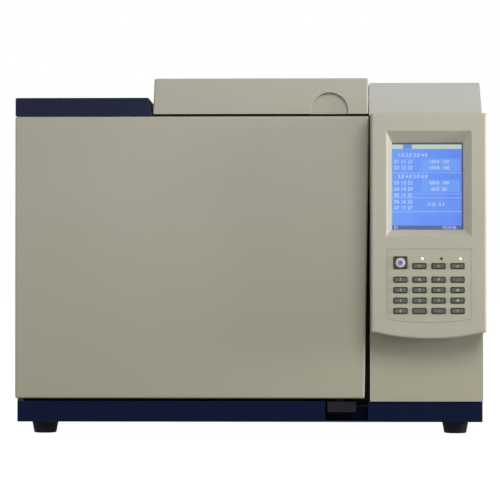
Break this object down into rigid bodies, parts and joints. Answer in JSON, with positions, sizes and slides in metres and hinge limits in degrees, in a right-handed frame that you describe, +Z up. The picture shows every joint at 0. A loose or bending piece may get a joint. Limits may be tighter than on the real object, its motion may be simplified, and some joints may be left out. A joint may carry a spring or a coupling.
{
  "type": "gas chromatograph",
  "caption": "Bench gas chromatograph with a hinged oven door, navy base and inlet cover, lift-up detector cover and a proud control panel with screen and keys.",
  "frame": {"origin": "middle of the footprint, on the bench top under the feet", "axes": "+X to the operator's right, -Y to the front, +Z up"},
  "size_m": [0.5993, 0.5018, 0.455],
  "materials": {
    "enamel_beige": "satin powder coat",
    "enamel_navy": "satin powder coat",
    "moulding_beige": "fine moulded grain",
    "galvanised": "galvanised",
    "stainless": "satin",
    "ceramic_fibre": "matt fibre",
    "rubber_black": "matt",
    "gasket": "matt",
    "black_plastic": "fine grain",
    "key_grey": "satin",
    "lcd": "lit display",
    "clear_window": "clear",
    "lamp": "clear lens",
    "circuit_board": "solder mask",
    "heater_wire": "oxidised",
    "capillary": "polyimide coated",
    "motor_black": "satin",
    "brass": "machined",
    "steel": "turned",
    "laminations": "varnished"
  },
  "bodies": {
    "chassis": {"base_pan": "enamel_navy", "left_side_panel": "enamel_beige", "right_side_panel": "enamel_beige", "rear_panel": "enamel_beige", "tower_front_panel": "enamel_beige", "header_cover": "moulding_beige", "control_housing": "moulding_beige", "feet": "rubber_black", "mains_module": "black_plastic", "oven_shell": "galvanised", "top_deck": "galvanised", "oven_liner": "stainless", "fan_baffle": "stainless", "column_hanger": "stainless", "oven_insulation": "ceramic_fibre", "heater_coil": "heater_wire", "fan_motor": "motor_black", "column": "capillary", "injectors": "steel", "detectors": "steel", "hinge_pins": "steel", "lcd_window": "clear_window", "lcd_display": "lcd", "key_board": "circuit_board", "main_board": "circuit_board", "indicator_lamps": "lamp", "transformer": "laminations", "flow_manifold": "brass", "gas_unions": "brass"},
    "oven_door": {"door_panel": "enamel_beige", "door_inner_pan": "stainless", "door_insulation": "ceramic_fibre", "door_gasket": "gasket"},
    "latch": {"latch_handle": "black_plastic"},
    "injector_lid": {"injector_cover": "enamel_navy"},
    "detector_lid": {"detector_cover": "enamel_beige"},
    "fan": {"oven_fan": "stainless"},
    "intake_vent": {"intake_flap": "galvanised"},
    "exhaust_vent": {"exhaust_flap": "galvanised"},
    "rocker": {"power_rocker": "black_plastic"},
    "key_1_1": {"key_1_1": "key_grey"},
    "key_1_2": {"key_1_2": "key_grey"},
    "key_1_3": {"key_1_3": "key_grey"},
    "key_1_4": {"key_1_4": "key_grey"},
    "key_2_1": {"key_2_1": "key_grey"},
    "key_2_2": {"key_2_2": "key_grey"},
    "key_2_3": {"key_2_3": "key_grey"},
    "key_2_4": {"key_2_4": "key_grey"},
    "key_3_1": {"key_3_1": "key_grey"},
    "key_3_2": {"key_3_2": "key_grey"},
    "key_3_3": {"key_3_3": "key_grey"},
    "key_3_4": {"key_3_4": "key_grey"},
    "key_4_1": {"key_4_1": "key_grey"},
    "key_4_2": {"key_4_2": "key_grey"},
    "key_4_3": {"key_4_3": "key_grey"},
    "key_4_4": {"key_4_4": "key_grey"},
    "key_5_1": {"key_5_1": "key_grey"},
    "key_5_2": {"key_5_2": "key_grey"},
    "key_5_3": {"key_5_3": "key_grey"},
    "key_5_4": {"key_5_4": "key_grey"}
  },
  "joints": [
    {"name": "door_hinge", "type": "hinge", "parent": "chassis", "child": "oven_door", "pos_m": [-0.29225, -0.1971, 0.22595], "axis": [0, 0, -1], "range_deg": [0, 115]},
    {"name": "latch_pivot", "type": "hinge", "parent": "chassis", "child": "latch", "pos_m": [0.119, -0.1756, 0.0345], "axis": [1, 0, 0], "range_deg": [0, 12], "stiffness_Nm_per_rad": 0.5, "springref_deg": -11.46},
    {"name": "injector_cover_hinge", "type": "hinge", "parent": "chassis", "child": "injector_lid", "pos_m": [-0.21125, 0.1699, 0.418], "axis": [-1, 0, 0], "range_deg": [0, 80]},
    {"name": "detector_cover_hinge", "type": "hinge", "parent": "chassis", "child": "detector_lid", "pos_m": [0.0154, 0.1699, 0.418], "axis": [-1, 0, 0], "range_deg": [0, 80]},
    {"name": "fan_spin", "type": "hinge", "parent": "chassis", "child": "fan", "pos_m": [-0.07125, 0.0619, 0.2117], "axis": [0, 1, 0], "continuous": true},
    {"name": "intake_vent_hinge", "type": "hinge", "parent": "chassis", "child": "intake_vent", "pos_m": [-0.16425, 0.2379, 0.2413], "axis": [1, 0, 0], "range_deg": [0, 50]},
    {"name": "exhaust_vent_hinge", "type": "hinge", "parent": "chassis", "child": "exhaust_vent", "pos_m": [0.02175, 0.2379, 0.2413], "axis": [1, 0, 0], "range_deg": [0, 50]},
    {"name": "power_rock", "type": "hinge", "parent": "chassis", "child": "rocker", "pos_m": [0.25275, 0.2349, 0.084], "axis": [1, 0, 0], "range_deg": [0, 16]},
    {"name": "key_1_1_press", "type": "slide", "parent": "chassis", "child": "key_1_1", "axis": [0, 1, 0], "range_m": [0, 0.0012], "stiffness_N_per_m": 400, "springref_m": -0.0004},
    {"name": "key_1_2_press", "type": "slide", "parent": "chassis", "child": "key_1_2", "axis": [0, 1, 0], "range_m": [0, 0.0012], "stiffness_N_per_m": 400, "springref_m": -0.0004},
    {"name": "key_1_3_press", "type": "slide", "parent": "chassis", "child": "key_1_3", "axis": [0, 1, 0], "range_m": [0, 0.0012], "stiffness_N_per_m": 400, "springref_m": -0.0004},
    {"name": "key_1_4_press", "type": "slide", "parent": "chassis", "child": "key_1_4", "axis": [0, 1, 0], "range_m": [0, 0.0012], "stiffness_N_per_m": 400, "springref_m": -0.0004},
    {"name": "key_2_1_press", "type": "slide", "parent": "chassis", "child": "key_2_1", "axis": [0, 1, 0], "range_m": [0, 0.0012], "stiffness_N_per_m": 400, "springref_m": -0.0004},
    {"name": "key_2_2_press", "type": "slide", "parent": "chassis", "child": "key_2_2", "axis": [0, 1, 0], "range_m": [0, 0.0012], "stiffness_N_per_m": 400, "springref_m": -0.0004},
    {"name": "key_2_3_press", "type": "slide", "parent": "chassis", "child": "key_2_3", "axis": [0, 1, 0], "range_m": [0, 0.0012], "stiffness_N_per_m": 400, "springref_m": -0.0004},
    {"name": "key_2_4_press", "type": "slide", "parent": "chassis", "child": "key_2_4", "axis": [0, 1, 0], "range_m": [0, 0.0012], "stiffness_N_per_m": 400, "springref_m": -0.0004},
    {"name": "key_3_1_press", "type": "slide", "parent": "chassis", "child": "key_3_1", "axis": [0, 1, 0], "range_m": [0, 0.0012], "stiffness_N_per_m": 400, "springref_m": -0.0004},
    {"name": "key_3_2_press", "type": "slide", "parent": "chassis", "child": "key_3_2", "axis": [0, 1, 0], "range_m": [0, 0.0012], "stiffness_N_per_m": 400, "springref_m": -0.0004},
    {"name": "key_3_3_press", "type": "slide", "parent": "chassis", "child": "key_3_3", "axis": [0, 1, 0], "range_m": [0, 0.0012], "stiffness_N_per_m": 400, "springref_m": -0.0004},
    {"name": "key_3_4_press", "type": "slide", "parent": "chassis", "child": "key_3_4", "axis": [0, 1, 0], "range_m": [0, 0.0012], "stiffness_N_per_m": 400, "springref_m": -0.0004},
    {"name": "key_4_1_press", "type": "slide", "parent": "chassis", "child": "key_4_1", "axis": [0, 1, 0], "range_m": [0, 0.0012], "stiffness_N_per_m": 400, "springref_m": -0.0004},
    {"name": "key_4_2_press", "type": "slide", "parent": "chassis", "child": "key_4_2", "axis": [0, 1, 0], "range_m": [0, 0.0012], "stiffness_N_per_m": 400, "springref_m": -0.0004},
    {"name": "key_4_3_press", "type": "slide", "parent": "chassis", "child": "key_4_3", "axis": [0, 1, 0], "range_m": [0, 0.0012], "stiffness_N_per_m": 400, "springref_m": -0.0004},
    {"name": "key_4_4_press", "type": "slide", "parent": "chassis", "child": "key_4_4", "axis": [0, 1, 0], "range_m": [0, 0.0012], "stiffness_N_per_m": 400, "springref_m": -0.0004},
    {"name": "key_5_1_press", "type": "slide", "parent": "chassis", "child": "key_5_1", "axis": [0, 1, 0], "range_m": [0, 0.0012], "stiffness_N_per_m": 400, "springref_m": -0.0004},
    {"name": "key_5_2_press", "type": "slide", "parent": "chassis", "child": "key_5_2", "axis": [0, 1, 0], "range_m": [0, 0.0012], "stiffness_N_per_m": 400, "springref_m": -0.0004},
    {"name": "key_5_3_press", "type": "slide", "parent": "chassis", "child": "key_5_3", "axis": [0, 1, 0], "range_m": [0, 0.0012], "stiffness_N_per_m": 400, "springref_m": -0.0004},
    {"name": "key_5_4_press", "type": "slide", "parent": "chassis", "child": "key_5_4", "axis": [0, 1, 0], "range_m": [0, 0.0012], "stiffness_N_per_m": 400, "springref_m": -0.0004}
  ],
  "couplings": [
    {"joint": "exhaust_vent_hinge", "follows": "intake_vent_hinge", "ratio": 1}
  ]
}
